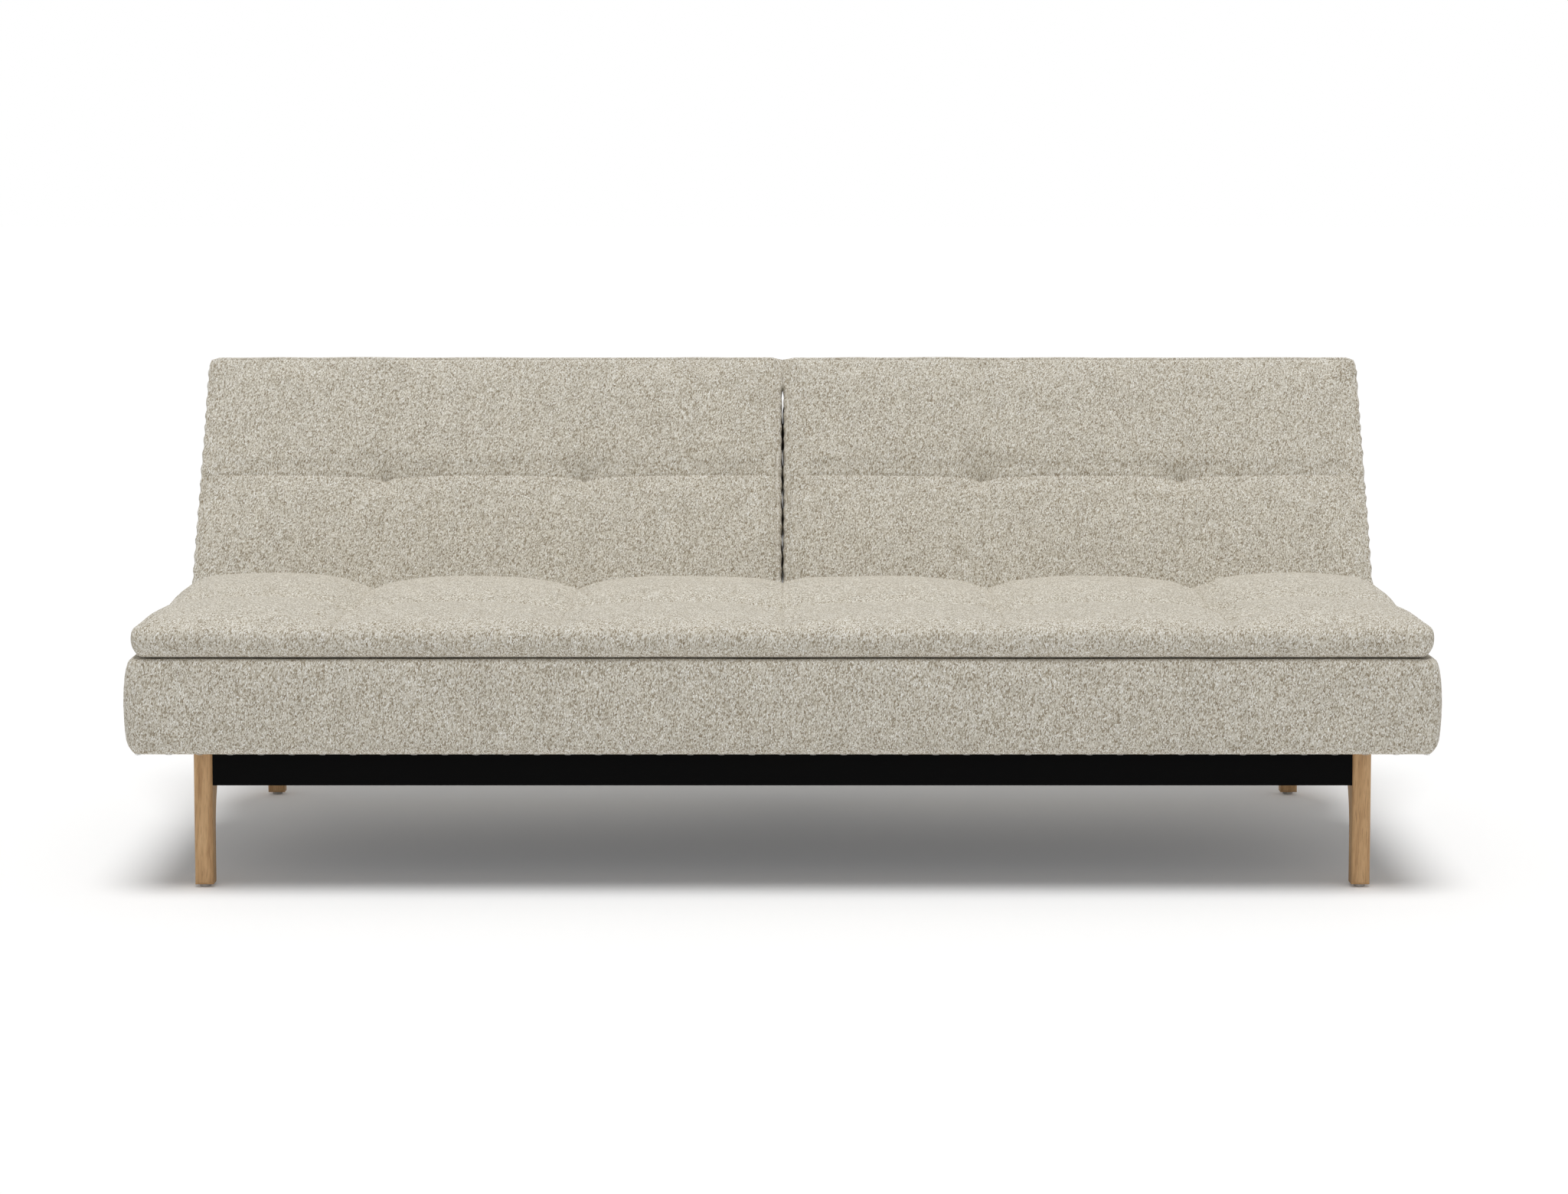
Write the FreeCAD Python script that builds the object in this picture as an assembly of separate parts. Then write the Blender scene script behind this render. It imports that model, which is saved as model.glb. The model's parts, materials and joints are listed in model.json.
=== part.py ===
import FreeCAD, Part
import math
import os

# Click clack sofa bed. Millimetres, x to the right, y from the seat's front to its rear, z up from the floor.
# The pieces are drawn with y counted from the front of the seat box, and moved to the middle at the end.
# Each back is drawn lying flat, with its hinge axis at the origin, and then raised to its place.

os.makedirs("parts", exist_ok=True)
V = FreeCAD.Vector
X_AXIS = V(1, 0, 0)
Y_AXIS = V(0, 1, 0)
Z_AXIS = V(0, 0, 1)

# Overall sizes
sofa_length = 2100.0
floor_to_box = 227.0
box_height = 154.0
pad_overhang = 45.0
bed_height = 440.0
seat_pad_depth = 577.0
seat_pad_length = 2074.0
back_length = 560.0
back_thickness = 150.0
back_end_inset = 2.0
gap_between_backs = 5.0
gap_in_bed = 22.0

# Ratchet hinge: the back lies flat, stands upright six notches up, and tilts one notch further
notches_per_turn = 34
notches_to_rest = 6
notches_to_forward_tilt = 1
hinge_from_lower_end = 74.3
hinge_from_rear_face = 39.6
hinge_from_leg = 20.0
hinge_from_middle = 28.3
hub_radius = 32.0
notch_depth = 4.0
hinge_plate = 6.0
arm_plate = 4.0
side_play = 0.3
notch_play = 0.3
running_play = 0.05
pivot_radius = 6.0
pivot_head_radius = 10.0
pivot_head_height = 6.0
pivot_nut_height = 8.0
neck_top_width = 36.0
neck_foot_width = 56.0
bracket_foot_length = 100.0
bracket_foot_width = 26.0
bracket_foot_thickness = 5.0
arm_eye = 24.0
arm_ear = 12.0
arm_length = 160.0
arm_web = 20.0
arm_web_start = 41.0
arm_strip_step = 2.0
arm_ear_run = 1.4
pawl_angle = 75.0
pawl_teeth = 2
pawl_reach = 50.0
pawl_shaft_height = 34.0
pawl_boss_radius = 9.0
pawl_rim_gap = 1.2
pawl_lever_width = 9.0
pawl_lift = 7.0
pawl_shaft_radius = 6.0

# Legs
leg_from_end = 134.0
leg_width = 30.0
foot_depth = 30.0
leg_front = 60.0
leg_rear = 807.0
leg_flare_start = 87.0
leg_flare_radius = 153.0
leg_front_edge = 6.0
leg_rear_edge = 2.5
foot_corner = 4.0
glide_radius = 9.0
glide_height = 5.0
leg_bolt_first = 45.0
leg_bolt_spacing = 40.0
leg_bolt_depth = 20.0
leg_bolt_end_gap = 2.0
bolt_window = 9.0

# Chassis
apron_height = 61.0
apron_front = 65.0
apron_flange = 22.0
sheet = 3.0
leg_plate_thickness = 5.0
leg_plate_length = 110.0
rail_width = 30.0
rail_height = 50.0
rail_wall = 2.5
rail_edge = 3.0
centre_rail_width = 90.0

# Seat box
seat_cover_wall = 12.0
seat_cover_end = 32.0
seat_cover_top = 8.0
seat_corner = 26.0
fit = 0.3
board = 16.0
board_height = 108.0
beam_height = 28.0
clip_length = 40.0
clip_rise = 22.0
clip_drop = 30.0
clip_from_board = 62.0
dust_cover = 1.7
slat_width = 53.0
slat_thickness = 12.0
seat_slat_count = 14
ledger_width = 20.0
ledger_height = 30.0

# Back
back_cover_wall = 8.0
back_cover_end = 12.0
back_cover_depth = 94.6
back_corner = 17.0
back_tube = 30.0
back_tube_wall = 2.0
back_tube_gap = 4.0
back_slat_count = 4
lowest_back_slat = 100.0
back_slat_end = 8.0
side_rail_start = 40.0
hinge_slot_play = 0.7
hinge_slot_top = 27.0
hinge_slot_front = 9.0
hinge_pocket_side = 6.0
hinge_pocket_end = 84.0
pawl_shaft_play = 3.0

# Padding
seam_from_middle = 358.0
outer_seam_from_middle = 717.0
pad_bottom_inset = 12.0
pad_edge_inset = 10.0
pad_roll = 24.0
pad_edge_height = 42.0
seat_crest_dip = 9.0
seat_rear_dip = 12.0
seat_middle_rear_dip = 3.0
seat_seam_dip = 12.0
seat_tuft_dip = 24.0
outer_puff_rise = 9.0
back_crest_dip = 4.0
back_seam_dip = 5.0
back_tuft_dip = 13.0
back_seam_share = 0.575
steps_per_puff = 3

# Fasteners
m8_radius = 4.0
m8_hole_radius = 4.25
m8_head_radius = 6.5
m8_head_height = 4.5

# Worked out
notch_pitch = 360.0 / notches_per_turn
rest_angle = notches_to_rest * notch_pitch
leg_spread = sofa_length / 2 - leg_from_end
box_depth = seat_pad_depth - pad_overhang
outer_hinge_x = leg_spread - hinge_from_leg
box_top = floor_to_box + box_height
hinge_y = seat_pad_depth + gap_in_bed + hinge_from_lower_end
hinge_z = bed_height - back_thickness + hinge_from_rear_face
back_top = back_length - hinge_from_lower_end
back_inner_end = gap_between_backs / 2
back_outer_end = sofa_length / 2 - back_end_inset
back_lean = back_top * math.cos(math.radians(rest_angle))
rear_reach = back_lean + hinge_from_rear_face * math.sin(math.radians(rest_angle))
middle_y = (hinge_y + rear_reach) / 2
chassis_bottom = floor_to_box - apron_height
rail_bottom = floor_to_box - rail_height
rail_outer = leg_spread - leg_plate_thickness
rail_inner = rail_outer - rail_width
rail_start = apron_front + sheet
rail_end = leg_rear - rail_width


def box(x0, x1, y0, y1, z0, z1):
    return Part.makeBox(x1 - x0, y1 - y0, z1 - z0, V(x0, y0, z0))


def rod(start, direction, length, radius):
    return Part.makeCylinder(radius, length, start, direction)


def rod_x(x0, x1, y, z, radius):
    return rod(V(x0, y, z), X_AXIS, x1 - x0, radius)


def rod_z(x, y, z0, z1, radius):
    return rod(V(x, y, z0), Z_AXIS, z1 - z0, radius)


def plate_x(points, x0, x1):
    wire = Part.makePolygon([V(x0, y, z) for y, z in points + points[:1]])
    return Part.Face(wire).extrude(V(x1 - x0, 0, 0))


def line(a, b):
    return Part.LineSegment(a, b).toShape()


def arc(a, middle, b):
    return Part.Arc(a, middle, b).toShape()


def mirrored(shape):
    return shape.mirror(V(0, 0, 0), X_AXIS)


def both_sides(shapes):
    return shapes + [mirrored(shape) for shape in shapes]


def square_tube(x0, x1, y0, y1, z0, z1, axis, wall, edge=0.0):
    outer = box(x0, x1, y0, y1, z0, z1)
    if edge > 0:
        long_edges = [e for e in outer.Edges if abs(e.tangentAt(e.FirstParameter).dot(axis)) > 0.9]
        outer = outer.makeFillet(edge, long_edges)
    dx, dy, dz = [0.0 if c else wall for c in (axis.x, axis.y, axis.z)]
    inner = box(x0 + dx, x1 - dx, y0 + dy, y1 - dy, z0 + dz, z1 - dz)
    return outer.cut(inner)


def hexagon(seat, direction, radius, height):
    """A six-sided block that sits on the point and stands up along the direction."""
    across = direction.cross(Z_AXIS if abs(direction.z) < 0.5 else X_AXIS)
    side = direction.cross(across)
    corners = []
    for i in range(6):
        turn = math.radians(60 * i)
        corners.append(seat + across * (radius * math.cos(turn)) + side * (radius * math.sin(turn)))
    return Part.Face(Part.makePolygon(corners + corners[:1])).extrude(direction * height)


def bolt(seat, direction, length, head_radius=m8_head_radius, head_height=m8_head_height, radius=m8_radius):
    """A hexagon bolt whose head sits on the point and whose shank runs along the direction."""
    head = hexagon(seat, -direction, head_radius, head_height)
    return head.fuse(rod(seat, direction, length, radius))


# Padded forms


def rounded_rectangle(x0, x1, y0, y1, z, radius):
    bend = radius * (1 - math.sqrt(0.5))
    turns = []
    for x, y, sx, sy in ((x1, y1, 1, 1), (x0, y1, -1, 1), (x0, y0, -1, -1), (x1, y0, 1, -1)):
        along_x = V(x - sx * radius, y, z)
        along_y = V(x, y - sy * radius, z)
        middle = V(x - sx * bend, y - sy * bend, z)
        turns.append((along_y, middle, along_x) if sx * sy > 0 else (along_x, middle, along_y))
    edges = []
    for i in range(4):
        edges.append(arc(*turns[i]))
        edges.append(line(turns[i][2], turns[(i + 1) % 4][0]))
    return Part.Wire(edges)


def bulged_box(x0, x1, y0, y1, z0, height, levels, radius):
    """A padded box whose walls bulge: a level is a share of the height, an inset of the ends and one of the faces."""
    wires = []
    for share, end_inset, face_inset in levels:
        wires.append(
            rounded_rectangle(
                x0 + end_inset, x1 - end_inset, y0 + face_inset, y1 - face_inset,
                z0 + share * height, radius - face_inset
            )
        )
    return Part.makeLoft(wires, True, True)


def pad_section(x, depth, seam, heights, squeeze=1.0, narrowing=1.0):
    """One cross-section of a tufted pad: two puffs side by side, between drawn-in edges."""
    front_crest, middle, rear_crest = heights
    belly = pad_edge_height * 0.45
    front = pad_edge_inset
    rear = depth - pad_edge_inset

    def point(y, z):
        return V(x, depth / 2 + (y - depth / 2) * narrowing, belly + (z - belly) * squeeze)

    front_top = point(front, pad_edge_height)
    rear_top = point(rear, pad_edge_height)
    sewn = point(seam, middle)
    around = [rear_top, point(depth, belly), point(depth - pad_bottom_inset, 0), point(pad_bottom_inset, 0)]
    around += [point(0, belly), front_top]
    edges = [
        arc(front_top, point((front + seam) / 2, front_crest), sewn),
        arc(sewn, point((seam + rear) / 2, rear_crest), rear_top),
    ]
    return Part.Wire(edges + [line(a, b) for a, b in zip(around, around[1:])])


def crown(x, a, b, a_is_end, b_is_end):
    """How full a puff is across its width: nothing at a seam, one in the middle, and half full at an end."""
    spread = 0.17 * (b - a)
    low = a - (spread if a_is_end else 0.0)
    high = b + (spread if b_is_end else 0.0)
    return 1.0 - ((2 * x - low - high) / (high - low)) ** 2


def tufted_pad(x0, x1, seams, depth, seam, heights_at):
    """Columns of puffs between sewn seams, with a rolled end on each side."""
    borders = [x0 + pad_roll] + seams + [x1 - pad_roll]
    stations = []
    for i in range(len(borders) - 1):
        a, b = borders[i:i + 2]
        for step in range(steps_per_puff):
            x = a + (b - a) * step / steps_per_puff
            stations.append((x, heights_at(x, crown(x, a, b, i == 0, i == len(borders) - 2))))
    x = borders[-1]
    stations.append((x, heights_at(x, crown(x, borders[-2], x, False, True))))
    wires = [pad_section(x, depth, seam, heights) for x, heights in stations]
    for share, squeeze, narrowing in ((0.7, 0.9, 0.99), (1.0, 0.6, 0.97)):
        roll = pad_roll * share
        wires.insert(0, pad_section(borders[0] - roll, depth, seam, stations[0][1], squeeze, narrowing))
        wires.append(pad_section(borders[-1] + roll, depth, seam, stations[-1][1], squeeze, narrowing))
    return Part.makeLoft(wires, True, True)


# Legs and glides


def leg_bolt_places():
    z = rail_bottom + rail_height / 2
    first = leg_front + leg_bolt_first
    return [(first, z), (first + leg_bolt_spacing, z)]


def front_right_leg():
    """A front leg above its glide: straight in front, and flared behind towards its top."""
    x = leg_spread
    top = floor_to_box
    rear = leg_front + foot_depth
    low = glide_height
    centre_y = rear + leg_flare_radius
    full = math.asin((top - leg_flare_start) / leg_flare_radius)

    def flare(angle):
        return V(x, centre_y - leg_flare_radius * math.cos(angle), leg_flare_start + leg_flare_radius * math.sin(angle))

    corners = [
        flare(full),
        V(x, leg_front, top),
        V(x, leg_front, low + foot_corner),
        V(x, leg_front + foot_corner, low),
        V(x, rear - foot_corner, low),
        V(x, rear, low + foot_corner),
        flare(0),
    ]
    outline = [line(a, b) for a, b in zip(corners, corners[1:])]
    outline.append(arc(flare(0), flare(full / 2), flare(full)))
    leg = Part.Face(Part.Wire(outline)).extrude(V(leg_width, 0, 0))
    front_edges = [e for e in leg.Edges if e.BoundBox.YMax < leg_front + 0.1 and e.BoundBox.ZLength > foot_depth]
    leg = leg.makeFillet(leg_front_edge, front_edges)
    rear_edges = [e for e in leg.Edges if e.BoundBox.YMin > rear - 0.1 and e.BoundBox.XLength < 0.1]
    leg = leg.makeChamfer(leg_rear_edge, rear_edges)
    for y, z in leg_bolt_places():
        leg = leg.cut(rod_x(x, x + leg_bolt_depth, y, z, m8_radius))
    return leg


def to_rear(shape):
    """Mirror a piece of a front leg to its place at the rear leg."""
    return shape.mirror(V(0, (leg_front + leg_rear) / 2, 0), Y_AXIS)


def four_corners(shape):
    front_left = mirrored(shape)
    return [shape, front_left, to_rear(shape), to_rear(front_left)]


def glide():
    return rod_z(leg_spread + leg_width / 2, leg_front + foot_depth / 2, 0, glide_height, glide_radius)


def leg_bolts():
    """Bolts from inside the side rails, through the leg plates, into the legs."""
    bolts = []
    length = leg_plate_thickness + leg_bolt_depth - leg_bolt_end_gap
    for y, z in leg_bolt_places():
        bolts += four_corners(bolt(V(rail_outer, y, z), X_AXIS, length))
    return bolts


# Chassis


def leg_plates():
    """Plates welded to the rails' ends and to the apron, one for each leg."""
    plate = box(rail_outer, leg_spread, apron_front, leg_front + leg_plate_length, chassis_bottom, floor_to_box)
    for y, z in leg_bolt_places():
        plate = plate.cut(rod_x(rail_outer, leg_spread, y, z, m8_hole_radius))
    return four_corners(plate)


def front_apron():
    """A folded sheet across the front, with a lip at its foot."""
    rear = apron_front + apron_flange
    web = box(-rail_outer, rail_outer, apron_front, apron_front + sheet, chassis_bottom, floor_to_box)
    foot = box(-rail_outer, rail_outer, apron_front, rear, chassis_bottom, chassis_bottom + sheet)
    lip = box(-rail_inner, rail_inner, rear - sheet, rear, chassis_bottom, rail_bottom - fit)
    return web.fuse([foot, lip]).removeSplitter()


def side_rail():
    """A tube with a window at each end for the leg bolts' heads."""
    rail = square_tube(
        rail_inner, rail_outer, rail_start, rail_end, rail_bottom, floor_to_box, Y_AXIS, rail_wall, rail_edge
    )
    ys = [y for y, z in leg_bolt_places()]
    z = rail_bottom + rail_height / 2
    reach = bolt_window
    window = box(rail_inner, rail_outer, min(ys) - reach, max(ys) + reach, z - reach, z + reach)
    return rail.cut(window).cut(to_rear(window))


def centre_rail():
    half = centre_rail_width / 2
    return square_tube(-half, half, rail_start, rail_end, rail_bottom, floor_to_box, Y_AXIS, rail_wall, rail_edge)


def rear_rail():
    return square_tube(
        -rail_outer, rail_outer, rail_end, leg_rear, rail_bottom, floor_to_box, X_AXIS, rail_wall, rail_edge
    )


def seat_frame_clips():
    """Flat steel clips, welded to the rails and nailed to the beams that stand on them."""
    clips = []
    low = floor_to_box - clip_drop
    high = floor_to_box + clip_rise
    for y in (inside_front + clip_from_board, inside_rear - clip_from_board - clip_length):
        side = box(rail_inner - sheet, rail_inner, y, y + clip_length, low, high)
        middle = box(centre_rail_width / 2, centre_rail_width / 2 + sheet, y, y + clip_length, low, high)
        clips += both_sides([side, middle])
    return clips


# Seat box

frame_x = sofa_length / 2 - seat_cover_end - fit
frame_front = seat_cover_wall + fit
frame_rear = box_depth - seat_cover_wall - fit
frame_top = floor_to_box + board_height
inside_front = frame_front + board
inside_rear = frame_rear - board
slat_low = frame_top - slat_thickness


def seat_cover():
    """The upholstered box, with bulged ends, open below for its frame."""
    levels = [(0, 20, 7), (0.08, 7, 3), (0.3, 1.5, 1), (0.6, 0, 0), (0.92, 8, 3), (1, 14, 7)]
    half = sofa_length / 2
    cover = bulged_box(-half, half, 0, box_depth, floor_to_box, box_height, levels, seat_corner)
    half -= seat_cover_end
    pocket = box(-half, half, seat_cover_wall, box_depth - seat_cover_wall, floor_to_box, box_top - seat_cover_top)
    return cover.cut(pocket)


def seat_end_board():
    return box(frame_x - board, frame_x, inside_front, inside_rear, floor_to_box, frame_top)


def seat_long_board(y):
    return box(-frame_x, frame_x, y, y + board, floor_to_box, frame_top)


def beam_borders():
    """Left and right side of each beam, which is as wide as the rail it stands on."""
    middle = centre_rail_width / 2
    return [(-rail_outer, -rail_inner), (-middle, middle), (rail_inner, rail_outer)]


def seat_beams():
    """Beams across the box that stand on the chassis rails."""
    top = floor_to_box + beam_height
    return [box(x0, x1, inside_front, inside_rear, floor_to_box, top) for x0, x1 in beam_borders()]


def seat_dust_cover():
    """Thin cloth that closes the box from below, in the bays between its beams."""
    borders = [board - frame_x]
    for x0, x1 in beam_borders():
        borders += [x0 - sheet - fit, x1 + sheet + fit]
    borders.append(frame_x - board)
    bays = []
    for i in range(0, len(borders), 2):
        bays.append(
            box(borders[i], borders[i + 1], inside_front, inside_rear, floor_to_box, floor_to_box + dust_cover)
        )
    return bays


def seat_slat_xs():
    pitch = 2 * (frame_x - board) / seat_slat_count
    return [(i - (seat_slat_count - 1) / 2) * pitch for i in range(seat_slat_count)]


def seat_slat(x):
    return box(x - slat_width / 2, x + slat_width / 2, inside_front, inside_rear, slat_low, frame_top)


def seat_ledgers():
    """Strips inside the long boards that carry the slats."""
    front = box(
        board - frame_x, frame_x - board, inside_front, inside_front + ledger_width, slat_low - ledger_height, slat_low
    )
    return [front, front.mirror(V(0, (inside_front + inside_rear) / 2, 0), Y_AXIS)]


def seat_core():
    """The foam layer over the frame, under the top of the cover."""
    return box(-frame_x, frame_x, frame_front, frame_rear, frame_top, box_top - seat_cover_top - fit)


def seat_pad():
    """The long tufted pad: two rows of six puffs, fuller at the outer ends."""
    top = bed_height - box_top
    outer = outer_seam_from_middle
    inner = seam_from_middle
    half = seat_pad_length / 2

    def heights(x, fullness):
        rise = outer_puff_rise if abs(x) > outer else 0.0
        rear_dip = seat_middle_rear_dip if abs(x) < inner / 2 else seat_rear_dip
        missing = 1.0 - fullness
        front_crest = top + rise - (seat_crest_dip + rise) * missing
        middle = top + rise - seat_seam_dip - (seat_tuft_dip - seat_seam_dip + rise) * missing
        rear_crest = top + rise - (rear_dip + rise) * missing
        return front_crest, middle, rear_crest

    pad = tufted_pad(
        -half, half, [-outer, -inner, 0.0, inner, outer], seat_pad_depth, seat_pad_depth / 2, heights
    )
    pad.translate(V(0, 0, box_top))
    return pad


# Hinge, drawn with its plate on x = 0, the back lying flat, and the back's frame on the side of positive x

arm_inside = hinge_plate / 2 + side_play
arm_outside = arm_inside + arm_plate
tube_low = back_cover_wall + fit - hinge_from_rear_face
tube_high = tube_low + back_tube
bottom_rail_y = back_cover_wall + back_tube_gap - hinge_from_lower_end


def polar(radius, angle):
    turn = math.radians(angle)
    return radius * math.cos(turn), radius * math.sin(turn)


def notch_outline(angle, play=0.0):
    """A ratchet notch, steep on the side that takes the load of the leaning back, or a tooth that fits it."""
    slack = math.degrees(play / hub_radius)
    over = hub_radius + notch_depth
    root = hub_radius - notch_depth + play
    steep = angle - 0.15 * notch_pitch + slack
    return [
        polar(over, steep),
        polar(root, steep),
        polar(root, angle + 0.11 * notch_pitch - slack),
        polar(over, angle + 0.78 * notch_pitch - slack),
    ]


def hinge_bracket():
    """The fixed half: a foot welded on the chassis rail, a neck, and a hub with notches round its top."""
    half = hinge_plate / 2
    foot_low = floor_to_box - hinge_z
    foot_high = foot_low + bracket_foot_thickness
    top = neck_top_width / 2
    low = neck_foot_width / 2
    hub = rod_x(-half, half, 0, 0, hub_radius)
    neck = plate_x([(-top, 0), (-low, foot_high), (low, foot_high), (top, 0)], -half, half)
    foot = box(
        -bracket_foot_width / 2, bracket_foot_width / 2, -bracket_foot_length / 2, bracket_foot_length / 2,
        foot_low, foot_high
    )
    bracket = hub.fuse([neck, foot]).removeSplitter()
    first = pawl_angle + rest_angle + notches_to_forward_tilt * notch_pitch
    for i in range(notches_to_forward_tilt + notches_to_rest + pawl_teeth):
        bracket = bracket.cut(plate_x(notch_outline(first - i * notch_pitch), -half, half))
    return bracket.cut(rod_x(-half, half, 0, 0, pivot_radius + running_play))


def along_pawl(along, out):
    """A point so far along the pawl, and so far out from the hinge axis."""
    turn = math.radians(pawl_angle)
    return out * math.cos(turn) + along * math.sin(turn), out * math.sin(turn) - along * math.cos(turn)


def pawl():
    """A lever with ratchet teeth round its shaft."""
    half = hinge_plate / 2
    y, z = along_pawl(pawl_reach, pawl_shaft_height)
    rim = hub_radius + pawl_rim_gap
    tip = -0.1 * pawl_reach
    lever = plate_x(
        [
            along_pawl(tip, rim),
            along_pawl(pawl_reach, rim),
            along_pawl(pawl_reach, rim + pawl_lever_width),
            along_pawl(tip, rim + pawl_lever_width),
        ],
        -half, half
    )
    pieces = [rod_x(-half, half, y, z, pawl_boss_radius)]
    for i in range(pawl_teeth):
        pieces.append(plate_x(notch_outline(pawl_angle - i * notch_pitch, notch_play), -half, half))
    return lever.fuse(pieces)


def arm_outline():
    """An eye for the pivot bolt, an ear for the pawl shaft, and a strip along the frame."""
    y, z = along_pawl(pawl_reach, pawl_shaft_height)
    eye = arm_eye
    ear = arm_ear
    strip_top = tube_high - arm_strip_step
    return [
        (-eye, tube_high),
        (bottom_rail_y, tube_high),
        (bottom_rail_y, tube_low),
        (arm_length, tube_low),
        (arm_length, strip_top),
        (y + arm_ear_run * ear, strip_top),
        (y + ear, z + ear / 2),
        (y + ear / 2, z + ear),
        (y - ear / 2, z + ear),
        (eye / 2, eye),
        (-eye / 2, eye),
        (-eye, eye / 2),
    ]


def hinge_arm():
    """The moving half: a plate beside the hub, with a web behind it along the frame."""
    y, z = along_pawl(pawl_reach, pawl_shaft_height)
    arm = plate_x(arm_outline(), arm_inside, arm_outside)
    web = box(arm_outside - arm_web, arm_outside, arm_web_start, arm_length, tube_low, tube_low + arm_plate)
    arm = arm.fuse(web).removeSplitter()
    arm = arm.cut(rod_x(arm_inside, arm_outside, 0, 0, pivot_radius + running_play))
    return arm.cut(rod_x(arm_inside, arm_outside, y, z, pawl_shaft_radius + running_play))


def pivot_bolt():
    """A bolt through the hub and the arm, with its nut locked on its end."""
    start = -hinge_plate / 2 - side_play
    end = arm_outside + side_play
    nut = hexagon(V(end, 0, 0), X_AXIS, pivot_head_radius, pivot_nut_height)
    return bolt(V(start, 0, 0), X_AXIS, end - start, pivot_head_radius, pivot_head_height, pivot_radius).fuse(nut)


def at_inner_hinge(shape):
    moved = shape.copy()
    moved.translate(V(hinge_from_middle, 0, 0))
    return moved


def at_outer_hinge(shape):
    moved = mirrored(shape)
    moved.translate(V(outer_hinge_x, 0, 0))
    return moved


def at_both_hinges(shapes):
    return [at_inner_hinge(s) for s in shapes] + [at_outer_hinge(s) for s in shapes]


# Right back, drawn lying flat with the hinge axis at the origin

back_low = -hinge_from_rear_face
pad_low = back_low + back_cover_depth
pocket_x0 = back_inner_end + back_cover_end
pocket_x1 = back_outer_end - back_cover_end
pocket_y0 = back_cover_wall - hinge_from_lower_end
pocket_y1 = back_top - back_cover_wall
inner_rail_x = hinge_from_middle + arm_outside
outer_rail_x = outer_hinge_x - arm_outside
top_rail_y = pocket_y1 - fit - back_tube


def back_cover():
    """Border and rear of the back: bulged ends, open towards the pad, with a slot for each hinge bracket."""
    levels = [(0, 14, 12), (0.1, 4, 3), (0.45, 0, 0), (0.85, 2.5, 1.5), (1, 8, 6)]
    cover = bulged_box(
        back_inner_end, back_outer_end, -hinge_from_lower_end, back_top, back_low, back_cover_depth, levels, back_corner
    )
    cover = cover.cut(box(pocket_x0, pocket_x1, pocket_y0, pocket_y1, back_low + back_cover_wall, pad_low))
    half = arm_outside + hinge_slot_play
    slot = box(-half, half, -hinge_from_lower_end, hinge_slot_top, back_low, hinge_slot_front)
    for placed in at_both_hinges([slot]):
        cover = cover.cut(placed)
    return cover


def back_pad():
    """Tufted front of the back: two rows of three puffs."""
    top = back_thickness - back_cover_depth

    def heights(x, fullness):
        missing = 1.0 - fullness
        crest = top - back_crest_dip * missing
        return crest, top - back_seam_dip - (back_tuft_dip - back_seam_dip) * missing, crest

    seams = [seam_from_middle, outer_seam_from_middle]
    pad = tufted_pad(back_inner_end, back_outer_end, seams, back_length, back_length * back_seam_share, heights)
    pad.translate(V(0, -hinge_from_lower_end, pad_low))
    return pad


def back_top_rail():
    return square_tube(
        pocket_x0 + fit, pocket_x1 - fit, top_rail_y, top_rail_y + back_tube, tube_low, tube_high, X_AXIS, back_tube_wall
    )


def back_bottom_rail():
    return square_tube(
        inner_rail_x, outer_rail_x, bottom_rail_y, bottom_rail_y + back_tube, tube_low, tube_high, X_AXIS, back_tube_wall
    )


def back_side_rail(x):
    return square_tube(x, x + back_tube, side_rail_start, top_rail_y, tube_low, tube_high, Y_AXIS, back_tube_wall)


def back_slats():
    slats = []
    low = tube_high
    pitch = (top_rail_y - lowest_back_slat) / back_slat_count
    for i in range(back_slat_count):
        y = lowest_back_slat + i * pitch
        slats.append(
            box(pocket_x0 + back_slat_end, pocket_x1 - back_slat_end, y, y + slat_width, low, low + slat_thickness)
        )
    return slats


def back_core():
    """Foam between the slats and the pad, cut away round the hinges and the pawl shaft."""
    low = tube_high + slat_thickness
    core = box(pocket_x0 + fit, pocket_x1 - fit, pocket_y0 + fit, pocket_y1 - fit, low, pad_low)
    y, z = along_pawl(pawl_reach, pawl_shaft_height)
    reach = pawl_shaft_radius + pawl_shaft_play
    core = core.cut(box(hinge_from_middle, outer_hinge_x, y - reach, y + reach, low, z + reach))
    half = arm_outside + pivot_nut_height + hinge_pocket_side
    pocket = box(-half, half, pocket_y0, hinge_pocket_end, low, pad_low)
    for placed in at_both_hinges([pocket]):
        core = core.cut(placed)
    return core


def pawls():
    """Two pawls welded to the ends of their shaft, shown lifted clear of the hubs."""
    y, z = along_pawl(pawl_reach, pawl_shaft_height)
    start = hinge_from_middle - hinge_plate / 2
    shaft = rod_x(start, outer_hinge_x + hinge_plate / 2, y, z, pawl_shaft_radius)
    solid = shaft.fuse(at_both_hinges([pawl()])).removeSplitter()
    solid.rotate(V(0, y, z), X_AXIS, -pawl_lift)
    return solid


# Output


def to_hinge(shape):
    moved = shape.copy()
    moved.translate(V(0, hinge_y, hinge_z))
    return moved


def to_rest(shape):
    raised = shape.copy()
    raised.rotate(V(0, 0, 0), X_AXIS, rest_angle)
    return to_hinge(raised)


def save(node, shapes):
    shape = Part.makeCompound(shapes) if len(shapes) > 1 else shapes[0].copy()
    shape.translate(V(0, -middle_y, 0))
    shape.exportStep("parts/" + node + ".step")


def save_sides(node, shapes):
    """Save pieces of the right-hand side, and their mirror images on the left."""
    save(node.replace("SIDE", "right"), shapes)
    save(node.replace("SIDE", "left"), [mirrored(shape) for shape in shapes])


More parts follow.
